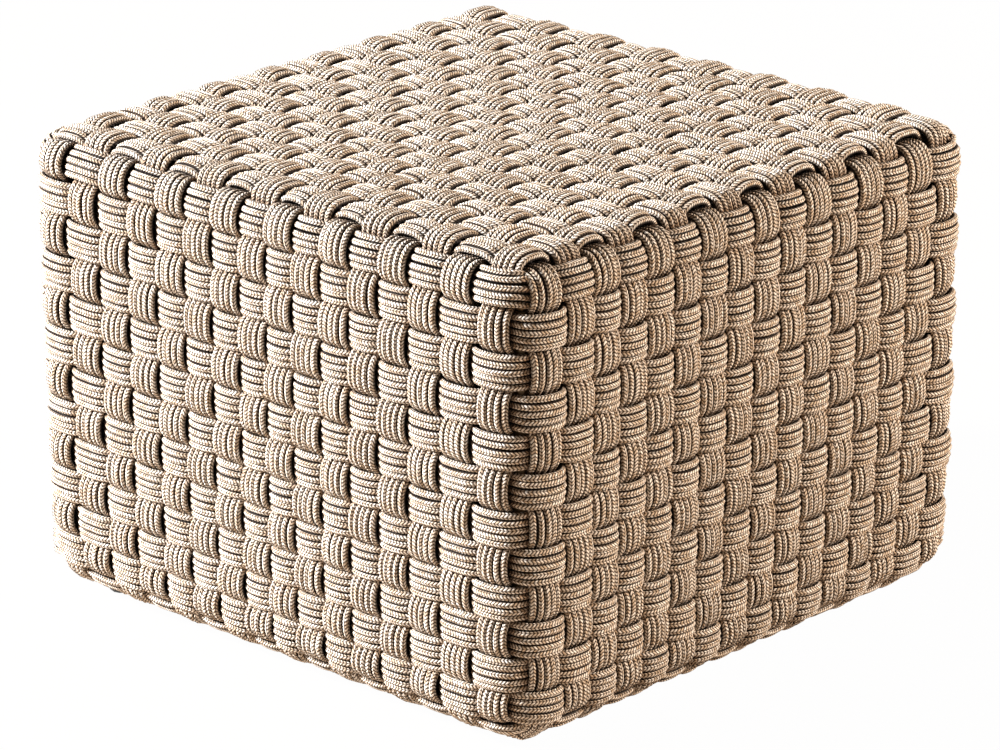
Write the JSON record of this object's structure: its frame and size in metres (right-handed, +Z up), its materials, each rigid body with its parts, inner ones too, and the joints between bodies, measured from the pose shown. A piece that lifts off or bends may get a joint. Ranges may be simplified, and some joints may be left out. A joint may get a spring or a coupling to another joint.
{
  "type": "outdoor ottoman footstool",
  "caption": "Square woven-rope ottoman footstool on a hidden tube frame, with a plain-woven seat and sides and corner foot glides.",
  "frame": {"origin": "centre of the footprint, on the floor under the glides", "axes": "+Z up through the seat, +X and +Y square to the four sides"},
  "size_m": [0.5584, 0.5584, 0.4076],
  "materials": {
    "rope": "matt braided outdoor rope, sand and cream",
    "frame": "bronze-tan powder coat, satin",
    "glides": "matt black"
  },
  "bodies": {
    "root": {"side_course_01": "rope", "side_course_02": "rope", "side_course_03": "rope", "side_course_04": "rope", "side_course_05": "rope", "side_course_06": "rope", "side_course_07": "rope", "side_course_08": "rope", "side_course_09": "rope", "side_course_10": "rope", "side_course_11": "rope", "side_course_12": "rope", "edge_course": "rope", "warp_band_01": "rope", "weft_band_01": "rope", "warp_band_02": "rope", "weft_band_02": "rope", "warp_band_03": "rope", "weft_band_03": "rope", "warp_band_04": "rope", "weft_band_04": "rope", "warp_band_05": "rope", "weft_band_05": "rope", "warp_band_06": "rope", "weft_band_06": "rope", "warp_band_07": "rope", "weft_band_07": "rope", "warp_band_08": "rope", "weft_band_08": "rope", "warp_band_09": "rope", "weft_band_09": "rope", "warp_band_10": "rope", "weft_band_10": "rope", "warp_band_11": "rope", "weft_band_11": "rope", "warp_band_12": "rope", "weft_band_12": "rope", "warp_band_13": "rope", "weft_band_13": "rope", "warp_band_14": "rope", "weft_band_14": "rope", "warp_band_15": "rope", "weft_band_15": "rope", "warp_band_16": "rope", "weft_band_16": "rope", "seat_hoop_half_1": "frame", "seat_hoop_half_2": "frame", "base_hoop_half_1": "frame", "base_hoop_half_2": "frame", "corner_post_1": "frame", "corner_post_2": "frame", "corner_post_3": "frame", "corner_post_4": "frame", "seat_cross_rail_1": "frame", "seat_cross_rail_2": "frame", "foot_glide_1": "glides", "foot_glide_2": "glides", "foot_glide_3": "glides", "foot_glide_4": "glides"}
  },
  "joints": []
}
